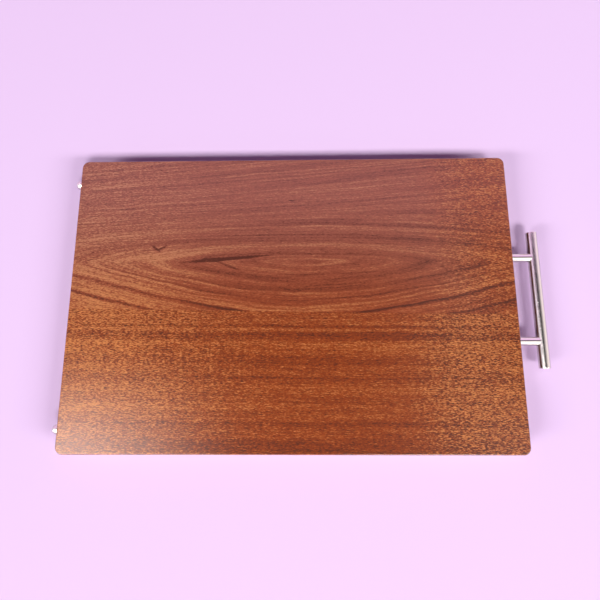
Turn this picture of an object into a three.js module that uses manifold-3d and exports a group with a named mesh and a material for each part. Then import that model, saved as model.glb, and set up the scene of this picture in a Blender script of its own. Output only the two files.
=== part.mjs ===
// Serving board: two hardwood staves glued edge to edge, a stainless T-bar handle on the right end,
// two domed stainless studs on the left end, on which the board stands when it is put away upright,
// and four rubber feet screwed into pockets in the underside.
//
// Millimetres, +Z up. The origin is the centre of the board's underside, X runs along the grain
// towards the handle, and Y runs across the staves towards the rear one.

import * as THREE from 'three';
import { mergeVertices } from 'three/addons/utils/BufferGeometryUtils.js';
import Module from 'manifold-3d';

// ---------------------------------------------------------------- driving dimensions

const board = {
  length: 500,
  depth: 335,
  thickness: 25,
  rearStaveWidth: 183, // at the middle of the board's length
  seamDrift: 9, // how much wider the rear stave is at the right end than at the left
  glueLine: 0.1, // space that the glue takes between the staves
  cornerRadius: 8,
  arris: 1.5, // round-over of the top and bottom edges
};

const handle = {
  centres: 96, // between the posts
  overall: 156, // end to end of the bar, caps included
  projection: 35, // from the board's end to the far side of the bar
  barDiameter: 12,
  barWall: 1.5,
  postDiameter: 10,
  spigotDiameter: 6, // the post's nose, in the bar's side hole
  spigotInside: 1.5, // how far the nose stands into the bar's bore
  capFlange: 1.5,
  capPlug: 6,
  capBevel: 0.5,
};

const stud = {
  diameter: 12,
  height: 10,
  skirt: 3, // straight part next to the board
  tipFlat: 5, // flat on top of the dome, where the upright board rests
  fromLongEdge: 25,
};

const boltDiameter = 5; // hanger bolts: wood thread one end, machine thread the other
const boltChamfer = 0.6;
const boltPoint = 8; // tapered end of the wood thread
const boltTip = 0.5; // radius left at the point
const handleBolt = { inMetal: 12, inWood: 30 };
const studBolt = { inMetal: 6, inWood: 20 };

const foot = {
  diameter: 20,
  taper: 1, // how much smaller the radius is at the floor
  proud: 3, // height below the underside
  pocket: 2.5, // depth of the pocket it sits in
  web: 1.7, // rubber left above the washer
  fromEnd: 45,
  fromLongEdge: 45,
};

const washer = { diameter: 9, thickness: 0.8 };

const screw = {
  shankDiameter: 3.5,
  headDiameter: 7,
  headHeight: 1.6,
  headBevel: 0.4,
  length: 14, // under the head
  point: 4,
  tip: 0.3,
  driveLength: 4,
  driveWidth: 0.9,
  driveDepth: 1,
};

// ---------------------------------------------------------------- clearances and fineness

const fit = 0.3; // radial clearance of anything that sits in a hole, and at the post's saddle
const spareDepth = 1; // how much deeper a blind hole is than what goes in it
const roundSides = 36;
const smallRoundSides = 20;
const domeSteps = 6;

// ---------------------------------------------------------------- sizes that follow

const boardEnd = board.length / 2;
const boardEdge = board.depth / 2;
const midThickness = board.thickness / 2;
const seamY = boardEdge - board.rearStaveWidth;
const barRadius = handle.barDiameter / 2;
const boreRadius = barRadius - handle.barWall;
const barOut = handle.projection - barRadius; // from the board's end to the bar's axis
const postY = handle.centres / 2;
const tubeHalf = handle.overall / 2 - handle.capFlange;
const studY = boardEdge - stud.fromLongEdge;
const footX = boardEnd - foot.fromEnd;
const footY = boardEdge - foot.fromLongEdge;
const boltHole = boltDiameter / 2 + fit;
const shankHole = screw.shankDiameter / 2 + fit;
const footHoleTop = foot.pocket; // levels below are heights above the underside
const washerTop = footHoleTop - foot.web;
const headTop = washerTop - washer.thickness;

// ---------------------------------------------------------------- finishes

const finishes = {
  rearWood: { color: 0x9c5a3c, roughness: 0.42, metalness: 0 },
  frontWood: { color: 0x9a4e2b, roughness: 0.42, metalness: 0 },
  brushedSteel: { color: 0xc9c7c4, roughness: 0.28, metalness: 1 },
  polishedSteel: { color: 0xd4d4d2, roughness: 0.12, metalness: 1 },
  zincPlate: { color: 0xb4b6b8, roughness: 0.35, metalness: 1 },
  rubber: { color: 0x1b1b1c, roughness: 0.8, metalness: 0 },
};

// ---------------------------------------------------------------- solids

const wasm = await Module();
wasm.setup();

// A closed geometry as a solid that can be cut and joined.
function toSolid(geometry) {
  const plain = geometry.clone();
  plain.deleteAttribute('normal');
  plain.deleteAttribute('uv');
  const merged = mergeVertices(plain, 1e-4);
  return new wasm.Manifold(new wasm.Mesh({
    numProp: 3,
    vertProperties: merged.attributes.position.array,
    triVerts: new Uint32Array(merged.index.array),
  }));
}

function toGeometry(solid) {
  const { vertProperties, triVerts } = solid.getMesh();
  const geometry = new THREE.BufferGeometry();
  geometry.setAttribute('position', new THREE.BufferAttribute(vertProperties, 3));
  geometry.setIndex(new THREE.BufferAttribute(triVerts, 1));
  geometry.computeVertexNormals();
  return geometry;
}

// A turned shape about Y. The profile is a list of [radius, height], with the material on its left.
function turned(profile, sides = smallRoundSides) {
  return new THREE.LatheGeometry(profile.map(([r, h]) => new THREE.Vector2(r, h)), sides);
}

const pointRight = (geometry) => geometry.rotateZ(-Math.PI / 2); // Y becomes +X
const pointLeft = (geometry) => geometry.rotateZ(Math.PI / 2); // Y becomes -X
const pointUp = (geometry) => geometry.rotateX(Math.PI / 2); // Y becomes +Z

function rod(radius, from, to, sides = smallRoundSides) {
  return turned([[0, from], [radius, from], [radius, to], [0, to]], sides);
}

// ---------------------------------------------------------------- the board

function boardOutline() {
  const x = boardEnd;
  const y = boardEdge;
  const r = board.cornerRadius;
  const outline = new THREE.Shape();
  outline.moveTo(-x + r, -y);
  outline.lineTo(x - r, -y);
  outline.absarc(x - r, -y + r, r, -Math.PI / 2, 0, false);
  outline.lineTo(x, y - r);
  outline.absarc(x - r, y - r, r, 0, Math.PI / 2, false);
  outline.lineTo(-x + r, y);
  outline.absarc(-x + r, y - r, r, Math.PI / 2, Math.PI, false);
  outline.lineTo(-x, -y + r);
  outline.absarc(-x + r, -y + r, r, Math.PI, 1.5 * Math.PI, false);
  return outline;
}

function wholeBoard() {
  const geometry = new THREE.ExtrudeGeometry(boardOutline(), {
    depth: board.thickness - 2 * board.arris,
    bevelThickness: board.arris,
    bevelSize: board.arris,
    bevelOffset: -board.arris,
    bevelSegments: 3,
    curveSegments: 8,
  });
  return toSolid(geometry.translate(0, 0, board.arris));
}

// Everything bored into the board: bolt holes in the two ends, pockets and screw holes underneath.
function boardHoles() {
  const holes = [];
  for (const side of [1, -1]) {
    const handleHole = pointLeft(rod(boltHole, -spareDepth, handleBolt.inWood + spareDepth));
    holes.push(handleHole.translate(boardEnd, side * postY, midThickness));
    const studHole = pointRight(rod(boltHole, -spareDepth, studBolt.inWood + spareDepth));
    holes.push(studHole.translate(-boardEnd, side * studY, midThickness));
    for (const end of [1, -1]) {
      const pocket = pointUp(rod(foot.diameter / 2 + fit, -spareDepth, foot.pocket, roundSides));
      holes.push(pocket.translate(end * footX, side * footY, 0));
      const screwHole = pointUp(rod(shankHole, 0, headTop + screw.length + spareDepth));
      holes.push(screwHole.translate(end * footX, side * footY, 0));
    }
  }
  return holes.map(toSolid).reduce((all, hole) => all.add(hole));
}

// The wood on one side of the glued seam: side is 1 for the rear stave and -1 for the front one.
// The panel was trimmed a little askew after gluing, so the seam isn't quite along X.
function stave(wood, side) {
  const half = new THREE.BoxGeometry(2 * board.length, 2 * board.depth, 4 * board.thickness);
  half.translate(0, side * (board.depth + board.glueLine / 2), 0);
  half.rotateZ(-Math.atan2(board.seamDrift, board.length));
  return toGeometry(wood.intersect(toSolid(half.translate(0, seamY, 0))));
}

// ---------------------------------------------------------------- the handle
// In its own frame: X out of the board's end, Y along the bar.

function barTube() {
  const tube = toSolid(turned([
    [boreRadius, -tubeHalf],
    [barRadius, -tubeHalf],
    [barRadius, tubeHalf],
    [boreRadius, tubeHalf],
    [boreRadius, -tubeHalf],
  ], roundSides).translate(barOut, 0, 0));
  const sideHoles = [postY, -postY].map((y) => {
    const hole = pointRight(rod(handle.spigotDiameter / 2 + fit, 0, barOut));
    return toSolid(hole.translate(0, y, 0));
  });
  return toGeometry(tube.subtract(sideHoles[0]).subtract(sideHoles[1]));
}

// A plug with a flange that closes the bar's end. Its flange meets the tube at height 0.
function barCap() {
  const plug = boreRadius - fit;
  const bevel = handle.capBevel;
  return turned([
    [0, -handle.capPlug],
    [plug - bevel, -handle.capPlug],
    [plug, -handle.capPlug + bevel],
    [plug, 0],
    [barRadius, 0],
    [barRadius, handle.capFlange - bevel],
    [barRadius - bevel, handle.capFlange],
    [0, handle.capFlange],
  ], roundSides);
}

// A round post with a saddle that fits the bar, a nose that enters it, and a tapped hole.
function handlePost() {
  const noseEnd = barOut - boreRadius + handle.spigotInside;
  const body = toSolid(pointRight(rod(handle.postDiameter / 2, 0, barOut, roundSides)));
  const saddle = rod(barRadius + fit, -handle.postDiameter, handle.postDiameter, roundSides);
  const nose = toSolid(pointRight(rod(handle.spigotDiameter / 2, 0, noseEnd)));
  const tapped = toSolid(pointRight(rod(boltHole, -spareDepth, handleBolt.inMetal + spareDepth)));
  return toGeometry(body.subtract(toSolid(saddle.translate(barOut, 0, 0))).add(nose).subtract(tapped));
}

// ---------------------------------------------------------------- studs, bolts and feet

// Height 0 is the wood's surface, and the machine thread points up.
function hangerBolt({ inMetal, inWood }) {
  const r = boltDiameter / 2;
  return turned([
    [0, -inWood],
    [boltTip, -inWood],
    [r, -inWood + boltPoint],
    [r, inMetal - boltChamfer],
    [r - boltChamfer, inMetal],
    [0, inMetal],
  ]);
}

function standingStud() {
  const boreDepth = studBolt.inMetal + spareDepth;
  const skirtRadius = stud.diameter / 2;
  const tipRadius = stud.tipFlat / 2;
  const profile = [
    [0, boreDepth],
    [boltHole, boreDepth],
    [boltHole, 0],
    [skirtRadius, 0],
  ];
  for (let i = 0; i <= domeSteps; i += 1) {
    const angle = (i / domeSteps) * (Math.PI / 2);
    profile.push([
      tipRadius + (skirtRadius - tipRadius) * Math.cos(angle),
      stud.skirt + (stud.height - stud.skirt) * Math.sin(angle),
    ]);
  }
  profile.push([0, stud.height]);
  return turned(profile, roundSides);
}

function rubberFoot() {
  const r = foot.diameter / 2;
  const recess = washer.diameter / 2 + fit;
  return turned([
    [shankHole, washerTop],
    [recess, washerTop],
    [recess, -foot.proud],
    [r - foot.taper, -foot.proud],
    [r, 0],
    [r, footHoleTop],
    [shankHole, footHoleTop],
    [shankHole, washerTop],
  ], roundSides);
}

function footWasher() {
  const r = washer.diameter / 2;
  return turned([
    [shankHole, headTop],
    [r, headTop],
    [r, washerTop],
    [shankHole, washerTop],
    [shankHole, headTop],
  ]);
}

// A pan-head wood screw, head down, with a cross recess.
function footScrew() {
  const head = screw.headDiameter / 2;
  const shank = screw.shankDiameter / 2;
  const bottom = headTop - screw.headHeight;
  const body = toSolid(turned([
    [0, bottom],
    [head - screw.headBevel, bottom],
    [head, bottom + screw.headBevel],
    [head, headTop],
    [shank, headTop],
    [shank, headTop + screw.length - screw.point],
    [screw.tip, headTop + screw.length],
    [0, headTop + screw.length],
  ]));
  const arm = () => new THREE.BoxGeometry(screw.driveLength, 2 * screw.driveDepth, screw.driveWidth);
  const cross = toSolid(arm()).add(toSolid(arm().rotateY(Math.PI / 2)));
  return toGeometry(body.subtract(cross.translate(0, bottom, 0)));
}

// ---------------------------------------------------------------- assembly

const tray = new THREE.Group();

function addPiece(parent, name, finish, geometry, x = 0, y = 0, z = 0) {
  const piece = new THREE.Mesh(geometry, new THREE.MeshStandardMaterial(finishes[finish]));
  piece.name = name;
  piece.position.set(x, y, z);
  parent.add(piece);
}

const wood = wholeBoard().subtract(boardHoles());
addPiece(tray, 'stave_rear', 'rearWood', stave(wood, 1));
addPiece(tray, 'stave_front', 'frontWood', stave(wood, -1));

const handleGroup = new THREE.Group();
handleGroup.position.set(boardEnd, 0, midThickness);
tray.add(handleGroup);
addPiece(handleGroup, 'handle_bar', 'brushedSteel', barTube());

const leftEnd = new THREE.Group();
leftEnd.position.set(-boardEnd, 0, midThickness);
tray.add(leftEnd);

for (const [place, side] of [['rear', 1], ['front', -1]]) {
  const cap = barCap().rotateX(side > 0 ? 0 : Math.PI);
  addPiece(handleGroup, `handle_cap_${place}`, 'brushedSteel', cap, barOut, side * tubeHalf);
  addPiece(handleGroup, `handle_post_${place}`, 'brushedSteel', handlePost(), 0, side * postY);
  const postBolt = pointRight(hangerBolt(handleBolt));
  addPiece(handleGroup, `handle_bolt_${place}`, 'zincPlate', postBolt, 0, side * postY);

  addPiece(leftEnd, `standing_stud_${place}`, 'polishedSteel', pointLeft(standingStud()), 0, side * studY);
  addPiece(leftEnd, `stud_bolt_${place}`, 'zincPlate', pointLeft(hangerBolt(studBolt)), 0, side * studY);

  for (const [end, along] of [['left', -1], ['right', 1]]) {
    const spot = [along * footX, side * footY];
    addPiece(tray, `foot_${end}_${place}`, 'rubber', pointUp(rubberFoot()), ...spot);
    addPiece(tray, `foot_washer_${end}_${place}`, 'zincPlate', pointUp(footWasher()), ...spot);
    addPiece(tray, `foot_screw_${end}_${place}`, 'zincPlate', pointUp(footScrew()), ...spot);
  }
}

export default tray;
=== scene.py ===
"""Serving board with a T-bar handle: its finished pieces, built in the space that the frame gives.

Two glued sapele staves, a stainless bar on two posts, two domed studs that the board stands on when it
is put away upright, and four screwed rubber feet. Run as a script: main() calls every operator in order.
"""

import math

import bpy
from bpy.props import FloatProperty, FloatVectorProperty, PointerProperty
from mathutils import Matrix, Vector


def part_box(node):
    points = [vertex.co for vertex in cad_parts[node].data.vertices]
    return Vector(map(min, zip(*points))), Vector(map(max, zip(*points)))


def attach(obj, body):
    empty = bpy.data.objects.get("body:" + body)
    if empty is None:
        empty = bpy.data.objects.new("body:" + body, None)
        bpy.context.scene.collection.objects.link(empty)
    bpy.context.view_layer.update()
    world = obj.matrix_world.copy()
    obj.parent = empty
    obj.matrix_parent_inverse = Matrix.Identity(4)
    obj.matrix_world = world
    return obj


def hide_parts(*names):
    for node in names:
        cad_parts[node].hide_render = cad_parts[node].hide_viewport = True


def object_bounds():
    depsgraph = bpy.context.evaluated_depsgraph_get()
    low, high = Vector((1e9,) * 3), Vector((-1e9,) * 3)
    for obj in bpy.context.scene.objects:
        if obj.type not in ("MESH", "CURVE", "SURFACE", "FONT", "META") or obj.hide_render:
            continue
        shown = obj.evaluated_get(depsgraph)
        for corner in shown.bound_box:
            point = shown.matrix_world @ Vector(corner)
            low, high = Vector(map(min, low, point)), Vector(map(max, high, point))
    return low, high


bl_info = {
    "name": "Serving board with T-bar handle",
    "version": (1, 0, 0),
    "blender": (4, 5, 0),
    "location": "3D View > Sidebar > Serving board",
    "description": "Builds a two-stave hardwood serving board, its handle, studs, feet and fixings",
    "category": "Add Mesh",
}

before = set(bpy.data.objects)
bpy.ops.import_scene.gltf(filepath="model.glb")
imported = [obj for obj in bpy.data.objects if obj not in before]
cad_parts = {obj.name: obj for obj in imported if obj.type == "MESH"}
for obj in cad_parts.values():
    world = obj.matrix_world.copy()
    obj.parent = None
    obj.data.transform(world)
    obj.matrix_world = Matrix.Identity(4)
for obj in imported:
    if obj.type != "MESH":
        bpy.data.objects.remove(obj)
CAD_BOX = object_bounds()

MM = 0.001
TURN = 2 * math.pi
BODY = "root"
PLACES = ("rear", "front")
ENDS = ("left", "right")

REAR_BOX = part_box("stave_rear")
FRONT_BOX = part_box("stave_front")
BOARD_LOW, BOARD_HIGH = FRONT_BOX[0], REAR_BOX[1]
SEAM_LEFT = Vector((BOARD_LOW.x, FRONT_BOX[1].y, 0))
SEAM_RIGHT = Vector((BOARD_HIGH.x, REAR_BOX[0].y, 0))


# ------------------------------------------------------------------ sizes and colours a user may change

def length(name, description, default):
    return FloatProperty(name=name, description=description, default=default, min=0.0,
                         subtype="DISTANCE", unit="LENGTH", precision=5)


def share(name, description, default):
    return FloatProperty(name=name, description=description, default=default, min=0.0, max=1.0,
                         subtype="FACTOR")


def colour(name, description, default):
    return FloatVectorProperty(name=name, description=description, default=default, size=3,
                               min=0.0, max=1.0, subtype="COLOR")


class BoardSettings(bpy.types.PropertyGroup):
    corner_radius: length("Corner radius", "Radius of the board's four corners seen from above", 8 * MM)
    arris: length("Arris", "Round-over of the top and bottom edges", 1.5 * MM)
    hole_clearance: length("Hole clearance", "Space round what sits in the wood", 0.3 * MM)
    spare_depth: length("Spare depth", "How much deeper a blind hole is than what it holds", 1 * MM)


class HandleSettings(bpy.types.PropertyGroup):
    bar_wall: length("Bar wall", "Wall of the bar's tube", 1.5 * MM)
    cap_bevel: length("Cap bevel", "Bevel round the bar's flat ends", 0.5 * MM)
    saddle_gap: length("Saddle gap", "Gap between a post's saddle and the bar", 0.04 * MM)
    nose_radius: length("Nose radius", "Radius of the post's nose, which enters the bar", 3 * MM)
    foot_bevel: length("Foot bevel", "Bevel of a post where it meets the wood", 0.3 * MM)


class HardwareSettings(bpy.types.PropertyGroup):
    stud_skirt: length("Stud skirt", "Straight part of a stud next to the board", 3 * MM)
    stud_tip: length("Stud tip", "Radius of the flat on top of a stud's dome", 2.5 * MM)
    machine_pitch: length("Machine pitch", "Pitch of the machine threads", 0.8 * MM)
    wood_pitch: length("Wood pitch", "Pitch of the wood threads", 2 * MM)
    thread_depth: length("Thread depth", "Height of the thread's ridge", 0.5 * MM)
    point: length("Point", "Length of a wood thread's tapered end", 8 * MM)
    foot_lip: length("Foot lip", "Round of the rubber feet's edges", 0.7 * MM)
    foot_taper: length("Foot taper", "How much smaller a foot's radius is on the table", 1 * MM)
    screw_head: length("Screw head", "Height of the pan head", 1.6 * MM)
    screw_shank: length("Screw shank", "Radius of the screw over its thread", 1.75 * MM)
    screw_pitch: length("Screw pitch", "Pitch of the foot screws' threads", 1.3 * MM)


class FinishSettings(bpy.types.PropertyGroup):
    dark_wood: colour("Dark wood", "Late wood and the heart streak", (0.078, 0.019, 0.009))
    # The rear tones are the wood's own red and gold with a painted pinkish reflection of the lilac
    # surroundings added in: their blue is raised for it.
    rear_red_with_pink_sheen: colour("Rear red", "The rear stave's middle tone", (0.262, 0.072, 0.040))
    front_red: colour("Front red", "The front stave's middle tone", (0.262, 0.046, 0.008))
    rear_gold_with_pink_sheen: colour("Rear gold", "The rear stave's lightest tone", (0.480, 0.200, 0.100))
    front_gold: colour("Front gold", "The front stave's lightest tone", (0.600, 0.225, 0.062))
    wood_gloss: share("Wood gloss", "Strength of the satin lacquer", 1.0)
    steel: colour("Steel", "Stainless steel", (0.70, 0.67, 0.65))
    zinc: colour("Zinc", "Bright zinc plate", (0.60, 0.61, 0.63))
    rubber: colour("Rubber", "Black rubber", (0.018, 0.018, 0.019))


class StageSettings(bpy.types.PropertyGroup):
    floor: colour("Floor", "Pale lilac table", (0.835, 0.635, 0.92))
    lens: FloatProperty(name="Lens", description="Focal length of the camera", default=25.8, min=1.0)
    aside: length("Camera aside", "Camera to the right of the board's middle", 0.0184)
    forward: length("Camera forward", "Camera in front of the board's middle", 0.0916)
    height: length("Camera height", "Camera above the board's underside", 0.4958)
    tilt: FloatProperty(name="Tilt", description="How far the view leans back from straight down",
                        default=math.radians(10.76), subtype="ANGLE")
    yaw: FloatProperty(name="Yaw", description="Turn of the view about the vertical",
                       default=math.radians(5.40), subtype="ANGLE")
    roll: FloatProperty(name="Roll", description="Turn of the picture about the view",
                        default=math.radians(-5.57), subtype="ANGLE")


# ------------------------------------------------------------------ modelling by hand, in steps

def edit_mesh():
    bpy.ops.object.mode_set(mode="EDIT")


def leave_mesh():
    bpy.ops.object.mode_set(mode="OBJECT")


def settle():
    """Keeps the selected piece's place, turn and size in its mesh."""
    bpy.ops.object.transform_apply(location=True, rotation=True, scale=True)


def middle_of(node):
    low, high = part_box(node)
    return (low + high) / 2


def start_clean():
    """Object mode with nothing selected, so the next step acts on the new piece only."""
    if bpy.context.mode != "OBJECT":
        leave_mesh()
    bpy.ops.object.select_all(action="DESELECT")


def pick(piece):
    start_clean()
    piece.select_set(True)
    bpy.context.view_layer.objects.active = piece


def named(name):
    piece = bpy.context.object
    piece.name = name
    piece.data.name = name
    return piece


def select_parts(piece, kind, test):
    """In edit mode, selects only the vertices, edges or faces that pass the test."""
    bpy.ops.mesh.select_mode(type=kind)
    bpy.ops.mesh.select_all(action="DESELECT")
    leave_mesh()
    mesh = piece.data
    parts = {"VERT": mesh.vertices, "EDGE": mesh.edges, "FACE": mesh.polygons}[kind]
    for part in parts:
        part.select = test(part)
    edit_mesh()


def ends_of(piece, edge):
    return [piece.data.vertices[i].co for i in edge.vertices]


def apply_modifier(piece, kind, **values):
    pick(piece)
    modifier = piece.modifiers.new(kind.title(), kind)
    for key, value in values.items():
        setattr(modifier, key, value)
    bpy.ops.object.modifier_apply(modifier=modifier.name)


def combine(piece, tool, operation="DIFFERENCE"):
    """Cuts or joins the piece with a tool shape, which is used up."""
    apply_modifier(piece, "BOOLEAN", object=tool, operation=operation, solver="EXACT")
    bpy.data.objects.remove(tool)


def place(piece, centre, toward=(0, 0, 1)):
    """Turns the piece's Z to a direction and moves it, and keeps that in the mesh."""
    pick(piece)
    piece.rotation_euler = Vector((0, 0, 1)).rotation_difference(Vector(toward)).to_euler()
    piece.location = centre
    settle()
    return piece


def copy_of(piece, name, move=(0, 0, 0), turn_about_x=0.0):
    pick(piece)
    bpy.ops.object.duplicate()
    twin = named(name)
    twin.rotation_euler = (turn_about_x, 0, 0)
    twin.location = move
    settle()
    return twin


def cylinder(name, radius, bottom, top, centre=(0, 0, 0), toward=(0, 0, 1), sides=64):
    start_clean()
    bpy.ops.mesh.primitive_cylinder_add(vertices=sides, radius=radius, depth=top - bottom,
                                        location=(0, 0, (bottom + top) / 2))
    piece = named(name)
    settle()
    return place(piece, centre, toward)


def draw_outline(name, points, close=False):
    """An outline in the XZ plane, drawn from its first point by extruding one vertex."""
    start_clean()
    bpy.ops.mesh.primitive_plane_add(size=MM, enter_editmode=True, location=(0, 0, 0))
    bpy.ops.mesh.select_mode(type="VERT")
    bpy.ops.mesh.select_all(action="SELECT")
    bpy.ops.mesh.merge(type="CENTER")
    here = (0, 0)
    for step, (across, up) in enumerate(points):
        move = {"value": (across - here[0], 0, up - here[1])}
        if step == 0:
            bpy.ops.transform.translate(**move)
        else:
            bpy.ops.mesh.extrude_region_move(TRANSFORM_OT_translate=move)
        here = (across, up)
    if close:
        def is_loose_end(vertex):
            spot = Vector((vertex.co.x, vertex.co.z))
            return min((spot - Vector(end)).length for end in (points[0], points[-1])) < 0.001 * MM

        select_parts(bpy.context.object, "VERT", is_loose_end)
        bpy.ops.mesh.edge_face_add()
    leave_mesh()
    return named(name)


def turned(name, outline, steps=72, close=False):
    """A turned piece about Z. Each point of the outline is (radius, height)."""
    piece = draw_outline(name, outline, close)
    edit_mesh()
    bpy.ops.mesh.select_mode(type="VERT")
    bpy.ops.mesh.select_all(action="SELECT")
    bpy.ops.mesh.spin(steps=steps, angle=TURN, center=(0, 0, 0), axis=(0, 0, 1))
    bpy.ops.mesh.select_all(action="SELECT")
    bpy.ops.mesh.remove_doubles(threshold=1e-6)
    bpy.ops.mesh.normals_make_consistent(inside=False)
    leave_mesh()
    return piece


def rounded(centre, radii, start, end, steps=6):
    """Points of an arc about a centre, from one angle to another, in degrees."""
    points = []
    for step in range(steps + 1):
        angle = math.radians(start + (end - start) * step / steps)
        points.append((centre[0] + radii[0] * math.cos(angle), centre[1] + radii[1] * math.sin(angle)))
    return points


def thread(name, root, crest, pitch, bottom, top, steps=20):
    """A ridge with a three-cornered section, wound round Z between two heights, its ends closed."""
    sunk, width = root - 0.15 * MM, 0.7 * pitch
    section = [(sunk, bottom), (crest, bottom + width / 2), (sunk, bottom + width)]
    ridge = draw_outline(name, section, close=True)
    turns = int((top - bottom - width) / pitch)
    apply_modifier(ridge, "SCREW", axis="Z", angle=TURN, screw_offset=pitch, iterations=turns,
                   steps=steps, render_steps=steps, use_smooth_shade=False)
    edit_mesh()
    bpy.ops.mesh.select_all(action="SELECT")
    bpy.ops.mesh.remove_doubles(threshold=1e-7)
    bpy.ops.mesh.select_all(action="SELECT")
    bpy.ops.mesh.fill_holes(sides=4)
    bpy.ops.mesh.select_all(action="SELECT")
    bpy.ops.mesh.normals_make_consistent(inside=False)
    leave_mesh()
    return ridge


def sharpen_point(piece, start, end, left):
    """Draws the piece in to a point between two heights, leaving a share of its radius at the end."""
    for vertex in piece.data.vertices:
        along = min(max((vertex.co.z - start) / (end - start), 0.0), 1.0)
        size = 1 + (left - 1) * along
        vertex.co.x *= size
        vertex.co.y *= size


def finish(piece, material, node, smooth=35.0, weigh=True):
    """Shades the piece, gives it its material and hands it to the frame in place of a CAD node."""
    pick(piece)
    bpy.ops.object.shade_smooth_by_angle(angle=math.radians(smooth))
    if weigh:
        apply_modifier(piece, "WEIGHTED_NORMAL", keep_sharp=True, weight=50)
    piece.data.materials.clear()
    piece.data.materials.append(material_for(material))
    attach(piece, BODY)
    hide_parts(node)


def fit_pair(blank, name, spot, material, node, front_turn=0.0, weigh=True):
    """Copies a piece to its rear and front places, which mirror each other, and uses it up."""
    for place_name, side, turn in (("rear", 1, 0.0), ("front", -1, front_turn)):
        twin = copy_of(blank, f"{name}_{place_name}", (spot[0], side * spot[1], spot[2]), turn)
        finish(twin, material, f"{node}_{place_name}", weigh=weigh)
    bpy.data.objects.remove(blank)


def fit_corners(blank, name, material, node, smooth=35.0, weigh=True):
    """Copies a piece to the board's four corners, where the feet are, and uses it up."""
    for end_name in ENDS:
        for place_name in PLACES:
            corner = f"{end_name}_{place_name}"
            spot = middle_of(f"{node}_{corner}")
            twin = copy_of(blank, f"{name}_{corner}", (spot.x, spot.y, 0))
            finish(twin, material, f"{node}_{corner}", smooth=smooth, weigh=weigh)
    bpy.data.objects.remove(blank)


# ------------------------------------------------------------------ shader building

class Nodes:
    """Short calls for adding nodes to a material or a group. A value is a number or a socket."""

    def __init__(self, tree):
        self.tree = tree

    def add(self, kind, **values):
        node = self.tree.nodes.new(kind)
        for key, value in values.items():
            setattr(node, key, value)
        return node

    def feed(self, socket, value):
        if isinstance(value, bpy.types.NodeSocket):
            self.tree.links.new(value, socket)
        else:
            socket.default_value = value

    def calc(self, operation, *values):
        node = self.add("ShaderNodeMath", operation=operation)
        for socket, value in zip(node.inputs, values):
            self.feed(socket, value)
        return node.outputs[0]

    def plus(self, first, second):
        return self.calc("ADD", first, second)

    def minus(self, first, second):
        return self.calc("SUBTRACT", first, second)

    def times(self, first, second):
        return self.calc("MULTIPLY", first, second)

    def over(self, first, second):
        return self.calc("DIVIDE", first, second)

    def stir(self, tone, noise, amount):
        """Moves a tone up and down with a noise."""
        return self.plus(tone, self.times(self.minus(noise, 0.5), amount))

    def vector(self, x, y, z):
        node = self.add("ShaderNodeCombineXYZ")
        for socket, value in zip(node.inputs, (x, y, z)):
            self.feed(socket, value)
        return node.outputs[0]

    def split(self, vector):
        node = self.add("ShaderNodeSeparateXYZ")
        self.feed(node.inputs[0], vector)
        return node.outputs

    def ease(self, value, low, high, to_low=0.0, to_high=1.0):
        """A smooth step from one value to another."""
        node = self.add("ShaderNodeMapRange", interpolation_type="SMOOTHSTEP")
        for socket, number in zip(node.inputs, (value, low, high, to_low, to_high)):
            self.feed(socket, number)
        return node.outputs[0]

    def blend(self, factor, first, second):
        node = self.add("ShaderNodeMix", data_type="FLOAT")
        self.feed(node.inputs[0], factor)
        self.feed(node.inputs["A"], first)
        self.feed(node.inputs["B"], second)
        return node.outputs[0]

    def blend_colour(self, factor, first, second, how="MIX"):
        node = self.add("ShaderNodeMix", data_type="RGBA", blend_type=how)
        self.feed(node.inputs[0], factor)
        self.feed(node.inputs[6], first)
        self.feed(node.inputs[7], second)
        return node.outputs[2]

    def noise(self, vector, scale=1.0, detail=2.0, rough=0.5):
        node = self.add("ShaderNodeTexNoise", noise_dimensions="3D")
        self.feed(node.inputs["Vector"], vector)
        self.feed(node.inputs["Scale"], scale)
        self.feed(node.inputs["Detail"], detail)
        self.feed(node.inputs["Roughness"], rough)
        return node.outputs["Fac"]

    def drawn_noise(self, *axes, **values):
        """Noise with its own size along each axis. Each axis is (coordinate, size)."""
        return self.noise(self.vector(*(self.over(*axis) for axis in axes)), **values)

    def bump(self, shader, height, strength, distance):
        node = self.add("ShaderNodeBump")
        node.inputs["Strength"].default_value = strength
        node.inputs["Distance"].default_value = distance
        self.feed(node.inputs["Height"], height)
        self.feed(shader.inputs["Normal"], node.outputs["Normal"])

    def ramp(self, value, stops):
        """A run of tones from 0 to 1: each stop is (place, tone)."""
        node = self.add("ShaderNodeValToRGB")
        node.color_ramp.interpolation = "EASE"
        points = node.color_ramp.elements
        while len(points) < len(stops):
            points.new(0.5)
        for point, (spot, _) in zip(points, stops):
            point.position = spot
        for point, (_, tone) in zip(points, stops):
            point.color = (tone, tone, tone, 1)
        self.feed(node.inputs[0], value)
        return node.outputs[0]

    def group(self, name, **values):
        node = self.add("ShaderNodeGroup")
        node.node_tree = bpy.data.node_groups[name]
        for key, value in values.items():
            self.feed(node.inputs[key.replace("_", " ").title()], value)
        return node.outputs

    def object_mm(self):
        """Object coordinates in millimetres."""
        place_node = self.add("ShaderNodeTexCoord")
        scaled = self.add("ShaderNodeVectorMath", operation="SCALE")
        self.feed(scaled.inputs[0], place_node.outputs["Object"])
        scaled.inputs["Scale"].default_value = 1000
        return scaled.outputs[0]


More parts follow.
